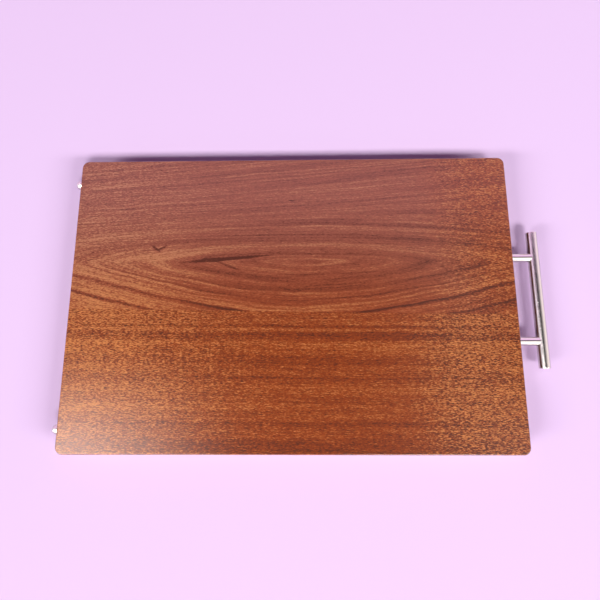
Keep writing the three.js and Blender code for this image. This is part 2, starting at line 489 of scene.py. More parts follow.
def new_group(name, inputs, outputs):
    """An empty node group with named sockets. Each input is (name, default), and None is a vector.

    An output named Colour is a colour, and any other is a number.
    """
    tree = bpy.data.node_groups.new(name, "ShaderNodeTree")
    for label, default in inputs:
        kind = "NodeSocketVector" if default is None else "NodeSocketFloat"
        socket = tree.interface.new_socket(name=label, in_out="INPUT", socket_type=kind)
        if default is not None:
            socket.default_value = default
    for label in outputs:
        kind = "NodeSocketColor" if label == "Colour" else "NodeSocketFloat"
        tree.interface.new_socket(name=label, in_out="OUTPUT", socket_type=kind)
    nodes = Nodes(tree)
    source = nodes.add("NodeGroupInput").outputs
    target = nodes.add("NodeGroupOutput").inputs
    return nodes, source, target


def make_streak_group():
    """Noise drawn out along the grain: long fibres, or short pores and flecks."""
    nodes, source, target = new_group(
        "grain_streaks",
        [("Along", 0.0), ("Across", 0.0), ("Deep", 0.0), ("Run", 30.0), ("Width", 1.0), ("Detail", 2.0)],
        ["Streaks"])
    width = source["Width"]
    streaks = nodes.drawn_noise((source["Along"], source["Run"]), (source["Across"], width),
                                (source["Deep"], width), detail=source["Detail"], rough=0.55)
    nodes.feed(target["Streaks"], streaks)


def make_mark_group():
    """One long soft mark in the figure, such as a heart streak: 1 at its middle and 0 outside."""
    nodes, source, target = new_group(
        "grain_mark",
        [("Place", None), ("Middle X", 0.0), ("Middle Y", 0.0), ("Half Length", 10.0),
         ("Half Width", 1.0), ("Turn", 0.0), ("Ragged", 0.3)],
        ["Mark"])
    x, y, z = nodes.split(source["Place"])
    east = nodes.minus(x, source["Middle X"])
    north = nodes.minus(y, source["Middle Y"])
    cos, sin = nodes.calc("COSINE", source["Turn"]), nodes.calc("SINE", source["Turn"])
    along = nodes.plus(nodes.times(east, cos), nodes.times(north, sin))
    across = nodes.minus(nodes.times(north, cos), nodes.times(east, sin))
    reach = nodes.vector(nodes.over(along, source["Half Length"]),
                         nodes.over(across, source["Half Width"]), 0.0)
    size = nodes.add("ShaderNodeVectorMath", operation="LENGTH")
    nodes.feed(size.inputs[0], reach)
    ragged = nodes.calc("MULTIPLY_ADD", nodes.noise(nodes.vector(nodes.over(x, 9.0), y, z)),
                        source["Ragged"], size.outputs["Value"])
    nodes.feed(target["Mark"], nodes.ease(ragged, 1.15, 0.55))


def make_eye_group():
    """Growth rings cut so nearly flat that they close on the face as one long eye.

    Rings is the distance from the heart, in millimetres across the lower side of the eye. The rings
    above it are squeezed together, and farther up they run straight and rise to the right.
    """
    nodes, source, target = new_group(
        "eye_figure",
        [("Place", None), ("Middle X", 5.0), ("Middle Y", 42.5), ("Face Z", 25.0), ("Squeeze", 2.0),
         ("Spread", 0.27), ("Tip", 6.0), ("Rise", 0.078)],
        ["Rings", "Below"])
    x, y, z = nodes.split(source["Place"])
    along = nodes.minus(x, source["Middle X"])
    down = nodes.minus(source["Middle Y"], y)
    up = nodes.times(down, -1.0)
    above = nodes.calc("GREATER_THAN", up, 0.0)
    across = nodes.times(down, nodes.blend(above, 1.0, source["Squeeze"]))
    deep = nodes.minus(source["Face Z"], z)
    tip = source["Tip"]
    under_face = nodes.plus(nodes.times(deep, deep), nodes.times(tip, tip))
    squares = nodes.plus(nodes.times(across, across), under_face)
    heart = nodes.calc("SQRT", squares)
    waist = 130.0
    bow = nodes.minus(nodes.calc("SQRT", nodes.calc("MULTIPLY_ADD", along, along, waist ** 2)), waist)
    lower = nodes.plus(nodes.times(bow, source["Spread"]), nodes.times(along, -0.02))
    half_length = 250.0
    arch_rise = 24.0
    arch = nodes.times(nodes.times(along, along), arch_rise / half_length ** 2)
    straight = nodes.times(nodes.times(along, source["Rise"]), -2.0)
    bend = nodes.blend(nodes.ease(up, 0.0, 25.0), lower, arch)
    bend = nodes.blend(nodes.ease(up, 35.0, 85.0), bend, straight)
    wander = nodes.drawn_noise((x, 70.0), (y, 22.0), (z, 22.0), detail=2.0)
    nodes.feed(target["Rings"], nodes.stir(nodes.plus(heart, bend), wander, 7.0))
    nodes.feed(target["Below"], nodes.ease(down, -5.0, 5.0))


def make_ribbon_group():
    """Quarter-sawn wood: straight lines that drift a little across the board."""
    nodes, source, target = new_group(
        "ribbon_figure", [("Place", None), ("Drift", 0.010)], ["Lines"])
    x, y, z = nodes.split(source["Place"])
    wander = nodes.drawn_noise((x, 110.0), (y, 30.0), (z, 30.0), detail=1.0)
    lines = nodes.calc("MULTIPLY_ADD", x, source["Drift"], y)
    nodes.feed(target["Lines"], nodes.stir(lines, wander, 4.0))


def make_wood_colour_group():
    """Tone to colour: dark late wood, red middle wood and golden early wood."""
    nodes, source, target = new_group(
        "wood_colour", [("Tone", 0.5), ("Pores", 0.0), ("End", 0.0), ("Front", 0.0)],
        ["Colour"])
    look = bpy.context.scene.tray_finish
    dark = (*look.dark_wood, 1)
    # Front moves from the rear tones, which carry a painted pink reflection, to the front stave's tones.
    red = nodes.blend_colour(source["Front"], (*look.rear_red_with_pink_sheen, 1), (*look.front_red, 1))
    gold = nodes.blend_colour(source["Front"], (*look.rear_gold_with_pink_sheen, 1), (*look.front_gold, 1))
    lower = nodes.blend_colour(nodes.ease(source["Tone"], 0.0, 0.5), dark, red)
    full = nodes.blend_colour(nodes.ease(source["Tone"], 0.45, 1.0), lower, gold)
    pored = nodes.blend_colour(source["Pores"], full, dark)
    # End grain is darker than the face, and darker still here as painted shade on the board's ends.
    end_grain_and_shade = nodes.blend_colour(source["End"], (1, 1, 1, 1), (0.30, 0.25, 0.24, 1))
    nodes.feed(target["Colour"], nodes.blend_colour(1.0, pored, end_grain_and_shade, "MULTIPLY"))


def make_brush_group():
    """Fine brushing: lines round or along a metal piece, with a few deeper ones."""
    nodes, source, target = new_group(
        "brushed_lines", [("Place", None), ("Across X", 1.0), ("Across Y", 1.0), ("Across Z", 1.0)],
        ["Lines"])
    x, y, z = nodes.split(source["Place"])
    across = (nodes.times(part, source[f"Across {axis}"]) for part, axis in ((x, "X"), (y, "Y"), (z, "Z")))
    nodes.feed(target["Lines"], nodes.noise(nodes.vector(*across), detail=3.0, rough=0.6))


GROUPS = (make_streak_group, make_mark_group, make_eye_group, make_ribbon_group,
          make_wood_colour_group, make_brush_group)


def new_material(name):
    material = bpy.data.materials.new(name)
    material.use_nodes = True
    nodes = Nodes(material.node_tree)
    shader = material.node_tree.nodes["Principled BSDF"]
    return material, nodes, shader


def end_grain_mask(nodes):
    """1 where the face looks along the grain, from the true normal."""
    surface = nodes.add("ShaderNodeNewGeometry")
    turned_normal = nodes.add("ShaderNodeVectorTransform", vector_type="NORMAL",
                              convert_from="WORLD", convert_to="OBJECT")
    nodes.feed(turned_normal.inputs[0], surface.outputs["Normal"])
    along_grain = nodes.split(turned_normal.outputs[0])[0]
    return nodes.ease(nodes.calc("ABSOLUTE", along_grain), 0.55, 0.95)


def wood_surface(nodes, shader, place_mm, across, tone, fleck, pore, front):
    """Fibres, flecks and pores over a figure's tone, then colour, gloss and a fine bump."""
    look = bpy.context.scene.tray_finish
    x, y, z = nodes.split(place_mm)
    flow = dict(along=x, across=across, deep=z)
    long_fibres = nodes.group("grain_streaks", run=60.0, width=1.3, detail=3.0, **flow)[0]
    fine_fibres = nodes.group("grain_streaks", run=14.0, width=0.45, detail=2.0, **flow)[0]
    # the short marks run with the board, a little askew, and not round the rings
    flow["across"] = nodes.calc("MULTIPLY_ADD", x, 0.03, y)
    flecks = nodes.group("grain_streaks", run=2.7, width=0.90, detail=1.0, **flow)[0]
    dashes = nodes.group("grain_streaks", run=3.4, width=0.55, detail=1.0, **flow)[0]
    pores = nodes.group("grain_streaks", run=4.5, width=0.42, detail=1.0, **flow)[0]
    tone = nodes.stir(tone, long_fibres, 0.55)
    tone = nodes.stir(tone, fine_fibres, 0.40)
    marks = nodes.blend(0.5, nodes.minus(flecks, 0.5), nodes.minus(dashes, 0.5))
    tone = nodes.plus(tone, nodes.times(marks, fleck))
    open_pores = nodes.times(nodes.ease(pores, 0.56, 0.72), pore)
    colour_out = nodes.group("wood_colour", tone=tone, pores=open_pores, end=end_grain_mask(nodes),
                             front=front)[0]
    nodes.feed(shader.inputs["Base Color"], colour_out)
    nodes.feed(shader.inputs["Roughness"], nodes.ease(fine_fibres, 0.2, 0.8, 0.40, 0.54))
    shader.inputs["Coat Weight"].default_value = look.wood_gloss
    shader.inputs["Coat Roughness"].default_value = 0.20
    shader.inputs["Specular IOR Level"].default_value = 0.08
    shader.inputs["Coat IOR"].default_value = 1.48
    height = nodes.minus(nodes.times(fine_fibres, 0.5), open_pores)
    nodes.bump(shader, height, strength=0.35, distance=0.12 * MM)


# The figures are laid out in millimetres. Tones and shares run from 0 to 1.
# Tone of the rings below the eye's middle and above it, from the heart outwards in tenths of a metre.
RINGS_BELOW = (
    (0.00, 0.44), (0.10, 0.38), (0.18, 0.46), (0.24, 0.40), (0.28, 0.52), (0.32, 0.46), (0.355, 0.36),
    (0.38, 0.50), (0.405, 0.36), (0.43, 0.52), (0.455, 0.34), (0.48, 0.56), (0.505, 0.40), (0.53, 0.58),
    (0.545, 0.42), (0.575, 0.62), (0.60, 0.48), (0.62, 0.08), (0.65, 0.44), (0.69, 0.53), (0.75, 0.48),
    (0.785, 0.38), (0.805, 0.04), (0.835, 0.46), (0.90, 0.52), (1.00, 0.50),
)
RINGS_ABOVE = (
    (0.00, 0.44), (0.10, 0.42), (0.18, 0.40), (0.25, 0.50), (0.33, 0.66), (0.40, 0.56), (0.46, 0.50),
    (0.51, 0.38), (0.55, 0.24), (0.60, 0.38), (0.66, 0.46), (0.78, 0.52), (0.90, 0.42), (1.00, 0.48),
)
# Tone of the front stave's lines, from the seam forwards, over 160 mm.
RIBBONS = (
    (0.00, 0.52), (0.06, 0.54), (0.10, 0.62), (0.115, 0.38), (0.14, 0.60), (0.165, 0.30), (0.19, 0.34),
    (0.22, 0.56), (0.30, 0.54), (0.36, 0.44), (0.40, 0.56), (0.455, 0.52), (0.465, 0.36), (0.48, 0.54),
    (0.55, 0.56), (0.615, 0.48), (0.62, 0.40), (0.64, 0.56), (0.75, 0.50), (0.765, 0.40), (0.79, 0.52),
    (0.86, 0.48), (0.91, 0.36), (1.00, 0.40),
)


def make_rear_wood():
    material, nodes, shader = new_material("sapele_eye_figure")
    place_mm = nodes.object_mm()
    x, y, z = nodes.split(place_mm)
    rings, below = nodes.group("eye_figure", place=place_mm)
    reach = nodes.over(rings, 100.0)
    near = nodes.blend(below, nodes.ramp(reach, RINGS_ABOVE), nodes.ramp(reach, RINGS_BELOW))
    bands = nodes.drawn_noise((rings, 4.5), (x, 170.0), (z, 60.0), detail=2.0)
    tone = nodes.stir(near, bands, 0.85)
    # Painted sheen: the tone is lifted at the left end, most towards the front, standing in for a pale
    # reflection there.
    painted_left_sheen = nodes.times(nodes.ease(x, -30.0, -220.0), nodes.ease(y, 100.0, 55.0, 0.06, 0.25))
    tone = nodes.plus(tone, painted_left_sheen)
    tone = nodes.plus(tone, nodes.ease(x, 90.0, 190.0, 0.0, -0.02))
    marks = (
        (-74.0, 45.5, 64.0, 2.8, math.radians(4.5), 1.0),  # the dark heart streak
        (-90.0, 44.5, 18.0, 3.6, math.radians(0.0), 0.8),  # its thick end
        (-72.0, 37.5, 24.0, 2.0, math.radians(-22.0), 0.55),  # a fainter arm below it
        (-155.0, 58.0, 8.0, 2.0, math.radians(-38.0), 0.75),  # two arms of a small knot
        (-148.0, 59.0, 9.0, 1.9, math.radians(28.0), 0.65),
        (0.0, 115.5, 5.0, 1.2, math.radians(-8.0), 0.7),  # a short dash
    )
    for mark_x, mark_y, half_length, half_width, turn, depth in marks:
        mark = nodes.group("grain_mark", place=place_mm, middle_x=mark_x, middle_y=mark_y,
                           half_length=half_length, half_width=half_width, turn=turn)[0]
        tone = nodes.blend(nodes.times(mark, depth), tone, -0.05)
    left_fleck = nodes.ease(x, -60.0, -240.0, 1.1, 2.2)
    fleck = nodes.calc("MAXIMUM", left_fleck, nodes.ease(x, 150.0, 200.0, 1.1, 2.9))
    # The rear tones hold a painted pink reflection at the back of the stave. It fades towards the seam and
    # is left off at the right end, where the front stave's tones are used.
    right_end_without_pink_sheen = nodes.ease(x, 130.0, 230.0, 0.0, 0.8)
    less_pink_sheen = nodes.calc("MAXIMUM", nodes.ease(y, 75.0, -25.0, 0.0, 0.72), right_end_without_pink_sheen)
    wood_surface(nodes, shader, place_mm, rings, tone, fleck, 0.60, less_pink_sheen)
    return material


def make_front_wood():
    material, nodes, shader = new_material("sapele_ribbon_figure")
    place_mm = nodes.object_mm()
    x, y, z = nodes.split(place_mm)
    lines = nodes.group("ribbon_figure", place=place_mm)[0]
    first_line, ribbons_width = -13.0, 160.0
    forward = nodes.over(nodes.minus(first_line, lines), ribbons_width)
    bands = nodes.drawn_noise((lines, 7.0), (x, 300.0), (z, 18.0), detail=3.0)
    tone = nodes.stir(nodes.ramp(forward, RIBBONS), bands, 0.40)
    # Painted sheen: the tone is lifted at the left end. The smaller lift at the right end is partly the
    # wood's own lighter tone and partly painted sheen.
    tone = nodes.plus(tone, nodes.ease(x, -30.0, -240.0, -0.06, 0.14))
    tone = nodes.plus(tone, nodes.ease(x, 60.0, 240.0, 0.0, 0.05))
    ripple = nodes.drawn_noise((x, 2.4), (y, 16.0), (z, 16.0), detail=1.0)
    ripple_band = nodes.times(nodes.ease(forward, 0.16, 0.24), nodes.ease(forward, 0.50, 0.36))
    ripple_reach = nodes.ease(x, 60.0, -140.0, 0.25, 0.9)
    ripple_size = nodes.times(nodes.times(ripple_band, ripple_reach), 0.6)
    tone = nodes.stir(tone, ripple, ripple_size)
    left_fleck = nodes.ease(x, 20.0, -200.0, 1.9, 4.2)
    fleck = nodes.calc("MAXIMUM", left_fleck, nodes.ease(x, 120.0, 190.0, 1.9, 5.4))
    # Near the seam a little of the rear tones, and with them a little painted pink reflection, is mixed in.
    less_pink_sheen = nodes.ease(y, 0.0, -60.0, 0.85, 1.0)
    wood_surface(nodes, shader, place_mm, lines, tone, fleck, 0.75, less_pink_sheen)
    return material


def make_steel(name, roughness, across, depth):
    """Stainless steel with fine lines. across says how many lines a millimetre holds on each axis."""
    material, nodes, shader = new_material(name)
    look = bpy.context.scene.tray_finish
    lines = nodes.group("brushed_lines", place=nodes.object_mm(), across_x=across[0], across_y=across[1],
                        across_z=across[2])[0]
    shade = nodes.blend_colour(lines, tuple(0.86 * part for part in look.steel) + (1,), (*look.steel, 1))
    nodes.feed(shader.inputs["Base Color"], shade)
    nodes.feed(shader.inputs["Roughness"], nodes.ease(lines, 0.25, 0.75, 0.75 * roughness, 1.3 * roughness))
    shader.inputs["Metallic"].default_value = 1.0
    nodes.bump(shader, lines, strength=1.0, distance=depth)
    return material


def make_zinc():
    material, nodes, shader = new_material("zinc_plate")
    look = bpy.context.scene.tray_finish
    cloud = nodes.noise(nodes.object_mm(), scale=0.8, detail=3.0)
    shade = nodes.blend_colour(cloud, (*look.zinc, 1), (0.50, 0.53, 0.60, 1))
    nodes.feed(shader.inputs["Base Color"], shade)
    nodes.feed(shader.inputs["Roughness"], nodes.ease(cloud, 0.3, 0.7, 0.24, 0.42))
    shader.inputs["Metallic"].default_value = 1.0
    return material


def make_rubber():
    material, nodes, shader = new_material("black_rubber")
    look = bpy.context.scene.tray_finish
    grain = nodes.noise(nodes.object_mm(), scale=3.0, detail=3.0, rough=0.7)
    dust = nodes.noise(nodes.object_mm(), scale=0.25, detail=2.0)
    shade = nodes.blend_colour(nodes.ease(dust, 0.4, 0.8), (*look.rubber, 1), (0.035, 0.034, 0.034, 1))
    nodes.feed(shader.inputs["Base Color"], shade)
    nodes.feed(shader.inputs["Roughness"], nodes.ease(grain, 0.3, 0.7, 0.62, 0.85))
    nodes.bump(shader, grain, strength=0.4, distance=0.05 * MM)
    return material


MATERIALS = {
    "rear_wood": make_rear_wood,
    "front_wood": make_front_wood,
    "bar_steel": lambda: make_steel("brushed_steel_bar", 0.16, (0.5, 9.0, 0.5), 0.06 * MM),
    "post_steel": lambda: make_steel("brushed_steel_posts", 0.12, (9.0, 0.5, 0.5), 0.002 * MM),
    "stud_steel": lambda: make_steel("polished_steel", 0.30, (2.0, 1.0, 1.0), 0.001 * MM),
    "zinc": make_zinc,
    "rubber": make_rubber,
}
ready = {}


def material_for(key):
    if key not in ready:
        ready[key] = MATERIALS[key]()
    return ready[key]


# ------------------------------------------------------------------ the pieces

class TRAY_OT_staves(bpy.types.Operator):
    """Shape the two glued staves, with every hole that is bored in them"""
    bl_idname = "tray.staves"
    bl_label = "Staves"

    def execute(self, context):
        board = self.whole_board(context.scene.tray_board)
        for hole in self.holes(context.scene):
            combine(board, hole)
        sawn = {"rear": board, "front": copy_of(board, "stave_board_front")}
        for name, piece in sawn.items():
            self.saw_at_seam(piece, keep_rear=name == "rear")
            piece.name = piece.data.name = f"stave_board_{name}"
            finish(piece, f"{name}_wood", f"stave_{name}")
        return {"FINISHED"}

    def whole_board(self, sizes):
        start_clean()
        bpy.ops.mesh.primitive_cube_add(size=1, location=(BOARD_LOW + BOARD_HIGH) / 2)
        board = named("stave_board_rear")
        board.scale = BOARD_HIGH - BOARD_LOW
        settle()
        edit_mesh()

        def is_upright(edge):
            low, high = ends_of(board, edge)
            return abs(low.z - high.z) > MM

        select_parts(board, "EDGE", is_upright)
        bpy.ops.mesh.bevel(offset=sizes.corner_radius, segments=12, affect="EDGES")

        def is_rim(edge):
            low, high = ends_of(board, edge)
            return abs(low.z - high.z) < 0.1 * MM

        select_parts(board, "EDGE", is_rim)
        bpy.ops.mesh.bevel(offset=sizes.arris, segments=5, affect="EDGES", clamp_overlap=False)
        leave_mesh()
        return board

    def holes(self, scene):
        """Bolt holes in the two ends, and a pocket and a screw hole under each foot."""
        clear, spare = scene.tray_board.hole_clearance, scene.tray_board.spare_depth
        tools = []
        for place_name in PLACES:
            for kind, outward in (("handle_bolt", 1), ("stud_bolt", -1)):
                low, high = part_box(f"{kind}_{place_name}")
                middle = middle_of(f"{kind}_{place_name}")
                end = BOARD_HIGH.x if outward > 0 else BOARD_LOW.x
                depth = abs(end - (low.x if outward > 0 else high.x)) + spare
                centre = (end, middle.y, middle.z)
                radius = (high.y - low.y) / 2 + clear
                tools.append(cylinder("bolt_hole", radius, -depth, spare, centre, (outward, 0, 0), 48))
            for end_name in ENDS:
                low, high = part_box(f"foot_{end_name}_{place_name}")
                middle = middle_of(f"foot_{end_name}_{place_name}")
                centre = (middle.x, middle.y, 0)
                pocket = (high.x - low.x) / 2 + clear
                tools.append(cylinder("pocket", pocket, -spare, high.z, centre))
                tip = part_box(f"foot_screw_{end_name}_{place_name}")[1].z + spare
                shank = scene.tray_hardware.screw_shank + clear
                tools.append(cylinder("screw_hole", shank, 0, tip, centre, sides=32))
        return tools

    def saw_at_seam(self, piece, keep_rear):
        along = (SEAM_RIGHT - SEAM_LEFT).normalized()
        rearward = Vector((-along.y, along.x, 0))
        pick(piece)
        edit_mesh()
        bpy.ops.mesh.select_all(action="SELECT")
        bpy.ops.mesh.bisect(plane_co=SEAM_LEFT, plane_no=rearward, use_fill=True, threshold=1e-6,
                            clear_inner=keep_rear, clear_outer=not keep_rear)
        leave_mesh()


class TRAY_OT_bar(bpy.types.Operator):
    """Shape the handle's tube and the two caps that close it"""
    bl_idname = "tray.bar"
    bl_label = "Bar and caps"

    def execute(self, context):
        sizes, clear = context.scene.tray_handle, context.scene.tray_board.hole_clearance
        low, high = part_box("handle_bar")
        axis = middle_of("handle_bar")
        radius, half = (high.x - low.x) / 2, high.y
        bore = radius - sizes.bar_wall
        tube = turned("grab_bar_tube", [(bore, -half), (radius, -half), (radius, half), (bore, half)],
                      steps=96, close=True)
        place(tube, axis, (0, 1, 0))
        for place_name in PLACES:
            centre = (axis.x, middle_of(f"handle_post_{place_name}").y, axis.z)
            hole = sizes.nose_radius + clear
            combine(tube, cylinder("side_hole", hole, 0, 2 * radius, centre, (-1, 0, 0), 48))
        finish(tube, "bar_steel", "handle_bar")

        cap_low, cap_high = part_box("handle_cap_rear")
        flange = cap_high.y - half
        bevel = sizes.cap_bevel
        plug = bore - clear
        inside = cap_low.y - half
        outline = [(0, inside), (plug - bevel, inside), (plug, inside + bevel), (plug, 0), (radius, 0)]
        outline += rounded((radius - bevel, flange - bevel), (bevel, bevel), 0, 90, 5)
        outline += [(0, flange)]
        cap = place(turned("cap_blank", outline, steps=96), (0, 0, 0), (0, 1, 0))
        fit_pair(cap, "grab_bar_cap", (axis.x, half, axis.z), "bar_steel",
                 "handle_cap", front_turn=math.pi)
        return {"FINISHED"}


class TRAY_OT_posts(bpy.types.Operator):
    """Shape the two posts: a saddle that fits the bar, a nose in it and a tapped hole"""
    bl_idname = "tray.posts"
    bl_label = "Posts"

    def execute(self, context):
        sizes = context.scene.tray_handle
        board = context.scene.tray_board
        bar_low, bar_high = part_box("handle_bar")
        low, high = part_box("handle_post_rear")
        bolt_low, bolt_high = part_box("handle_bolt_rear")
        radius = (high.y - low.y) / 2
        bar_radius = (bar_high.x - bar_low.x) / 2
        bar_out = (bar_low.x + bar_high.x) / 2 - low.x
        bevel = sizes.foot_bevel
        outline = [(0, 0), (radius - bevel, 0), (radius, bevel), (radius, bar_out), (0, bar_out)]
        post = place(turned("post_blank", outline, steps=96), (0, 0, 0), (1, 0, 0))
        saddle = cylinder("saddle", bar_radius + sizes.saddle_gap, -radius - MM, radius + MM,
                          (bar_out, 0, 0), (0, 1, 0), 128)
        combine(post, saddle)
        nose = cylinder("nose", sizes.nose_radius, radius / 2 + MM, high.x - low.x, (0, 0, 0), (1, 0, 0))
        combine(post, nose, "UNION")
        hole_radius = (bolt_high.y - bolt_low.y) / 2 + board.hole_clearance
        hole_depth = bolt_high.x - low.x + board.spare_depth
        combine(post, cylinder("tapped", hole_radius, -MM, hole_depth, (0, 0, 0), (1, 0, 0), 48))
        middle = middle_of("handle_post_rear")
        fit_pair(post, "grab_post", (low.x, middle.y, middle.z), "post_steel",
                 "handle_post")
        return {"FINISHED"}


class TRAY_OT_studs(bpy.types.Operator):
    """Turn the two domed studs on the board's left end"""
    bl_idname = "tray.studs"
    bl_label = "Standing studs"

    def execute(self, context):
        sizes = context.scene.tray_hardware
        board = context.scene.tray_board
        low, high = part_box("standing_stud_rear")
        bolt_low, bolt_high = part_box("stud_bolt_rear")
        radius, height = (high.y - low.y) / 2, high.x - low.x
        bore = (bolt_high.y - bolt_low.y) / 2 + board.hole_clearance
        bore_depth = BOARD_LOW.x - bolt_low.x + board.spare_depth
        bevel = 0.3 * MM
        outline = [(0, bore_depth), (bore, bore_depth), (bore, 0), (radius - bevel, 0), (radius, bevel)]
        dome = (radius - sizes.stud_tip, height - sizes.stud_skirt)
        outline += rounded((sizes.stud_tip, sizes.stud_skirt), dome, 0, 90, 14)
        outline += [(0, height)]
        stud = place(turned("stud_blank", outline, steps=96), (0, 0, 0), (-1, 0, 0))
        middle = middle_of("standing_stud_rear")
        fit_pair(stud, "dome_stud", (BOARD_LOW.x, middle.y, middle.z), "stud_steel",
                 "standing_stud")
        return {"FINISHED"}


class TRAY_OT_bolts(bpy.types.Operator):
    """Make the four hanger bolts: machine thread in the metal, wood thread in the board"""
    bl_idname = "tray.bolts"
    bl_label = "Hanger bolts"

    def execute(self, context):
        kinds = (("handle_bolt", 1, "post_hanger_bolt"), ("stud_bolt", -1, "stud_hanger_bolt"))
        for node, outward, name in kinds:
            low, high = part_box(f"{node}_rear")
            surface = BOARD_HIGH.x if outward > 0 else BOARD_LOW.x
            in_metal = abs((high.x if outward > 0 else low.x) - surface)
            in_wood = abs((low.x if outward > 0 else high.x) - surface)
            bolt = self.hanger_bolt(context.scene.tray_hardware, (high.y - low.y) / 2, in_metal, in_wood)
            place(bolt, (0, 0, 0), (outward, 0, 0))
            middle = middle_of(f"{node}_rear")
            fit_pair(bolt, name, (surface, middle.y, middle.z), "zinc",
                     node, weigh=False)
        return {"FINISHED"}

    def hanger_bolt(self, sizes, radius, in_metal, in_wood):
        root = radius - sizes.thread_depth
        chamfer = 0.6 * MM
        neck = 1.2 * MM
        outline = [(0, -in_wood), (root, -in_wood), (root, -neck), (radius, -neck), (radius, neck),
                   (root, neck), (root, in_metal - chamfer / 2), (root - chamfer / 2, in_metal),
                   (0, in_metal)]
        bolt = turned("hanger_bolt", outline, steps=40)
        wood_top = -neck - 0.2 * MM
        wood = thread("wood_thread", root, radius, sizes.wood_pitch, -in_wood + 0.4 * MM, wood_top)
        combine(bolt, wood, "UNION")
        machine = thread("machine_thread", root, radius, sizes.machine_pitch, neck + 0.1 * MM,
                         in_metal - chamfer / 2)
        combine(bolt, machine, "UNION")
        sharpen_point(bolt, -in_wood + sizes.point, -in_wood, 0.2)
        return bolt


class TRAY_OT_feet(bpy.types.Operator):
    """Turn the four rubber feet and the steel washers in them"""
    bl_idname = "tray.feet"
    bl_label = "Feet and washers"

    def execute(self, context):
        sizes = context.scene.tray_hardware
        board = context.scene.tray_board
        low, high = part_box("foot_left_rear")
        washer_low, washer_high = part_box("foot_washer_left_rear")
        foot = self.foot(sizes, board, low, high, washer_low, washer_high)
        hole = sizes.screw_shank + board.hole_clearance
        rim = (washer_high.x - washer_low.x) / 2
        bevel = 0.12 * MM
        outline = [(hole, washer_low.z + bevel), (hole + bevel, washer_low.z),
                   (rim - bevel, washer_low.z), (rim, washer_low.z + bevel), (rim, washer_high.z - bevel),
                   (rim - bevel, washer_high.z), (hole + bevel, washer_high.z),
                   (hole, washer_high.z - bevel)]
        washer = turned("plain_washer", outline, steps=64, close=True)
        fit_corners(foot, "rubber_foot", "rubber", "foot", smooth=50)
        fit_corners(washer, "plain_washer", "zinc", "foot_washer")
        return {"FINISHED"}

    def foot(self, sizes, board, low, high, washer_low, washer_high):
        top, bottom = high.z, low.z
        radius = (high.x - low.x) / 2
        hole = sizes.screw_shank + board.hole_clearance
        recess = (washer_high.x - washer_low.x) / 2 + board.hole_clearance
        floor_radius = radius - sizes.foot_taper
        lip = sizes.foot_lip
        outline = [(hole, washer_high.z), (recess, washer_high.z)]
        outline += rounded((recess + lip, bottom + lip), (lip, lip), 180, 270)
        outline += rounded((floor_radius - lip, bottom + lip), (lip, lip), 270, 345)
        outline += [(radius, 0), (radius, top), (hole, top)]
        return turned("rubber_foot", outline, steps=72, close=True)


class TRAY_OT_screws(bpy.types.Operator):
    """Make the four pan-head screws that hold the feet"""
    bl_idname = "tray.screws"
    bl_label = "Foot screws"

    def execute(self, context):
        low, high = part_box("foot_screw_left_rear")
        screw = self.pan_screw(context.scene.tray_hardware, low, high)
        fit_corners(screw, "pan_screw", "zinc", "foot_screw", weigh=False)
        return {"FINISHED"}

    def pan_screw(self, sizes, low, high):
        head, shank = (high.x - low.x) / 2, sizes.screw_shank
        bottom, seat, tip = low.z, low.z + sizes.screw_head, high.z
        root = shank - 0.45 * MM
        crown, rim_bevel, point = 0.9 * MM, 0.1 * MM, 4 * MM
        outline = [(0, bottom)]
        outline += rounded((head - crown, bottom + crown), (crown, crown), 270, 360, 7)
        outline += [(head, seat - rim_bevel), (head - rim_bevel, seat), (root, seat), (root, tip), (0, tip)]
        screw = turned("pan_screw", outline, steps=48)
        ridge = thread("screw_thread", root, shank, sizes.screw_pitch, seat + 0.8 * MM, tip - 0.2 * MM)
        combine(screw, ridge, "UNION")
        sharpen_point(screw, tip - point, tip, 0.08)
        for turn in (0, math.pi / 2):  # the cross recess, narrower at its floor
            start_clean()
            bpy.ops.mesh.primitive_cube_add(size=1, location=(0, 0, bottom), rotation=(0, 0, turn))
            arm = named("cross_arm")
            arm.scale = (4 * MM, 0.9 * MM, 2 * MM)
            settle()
            edit_mesh()
            select_parts(arm, "FACE", lambda face: face.normal.z > 0.5)
            bpy.ops.transform.resize(value=(0.55, 0.55, 1))
            leave_mesh()
            combine(screw, arm)
        return screw


# ------------------------------------------------------------------ the stage

# Each level panel's name, its place and size in metres, and its power in watts.
SOFT_LIGHTS = (
    ("front_softbox", (2.8, -7.0, 8.0), (3.2, 2.8), 950.0),
    ("left_softbox", (-14.0, -7.0, 8.0), (14.0, 2.8), 2950.0),
    ("right_softbox", (14.0, -7.0, 8.0), (14.0, 2.8), 3200.0),
)
# What the steel and the lacquer reflect.
DARK_WALL = (0.04, 0.036, 0.04, 1)
GREY_WALL = (0.24, 0.18, 0.22, 1)
LEFT_STRIP = (2.4, 2.3, 2.3, 1)
RIGHT_CARD = (1.35, 1.20, 1.16, 1)
FRONT_PANEL = (1.9, 1.85, 1.8, 1)
LEFT_PANEL = (16.0, 15.6, 15.2, 1)
BACKDROP = (1.30, 0.84, 1.28, 1)
# What lights the shadows, and what is behind the table.
FILL, FRONT_FILL = (0.11, 0.062, 0.12, 1), (0.26, 0.19, 0.28, 1)
HORIZON = (0.90, 0.74, 0.96, 1)


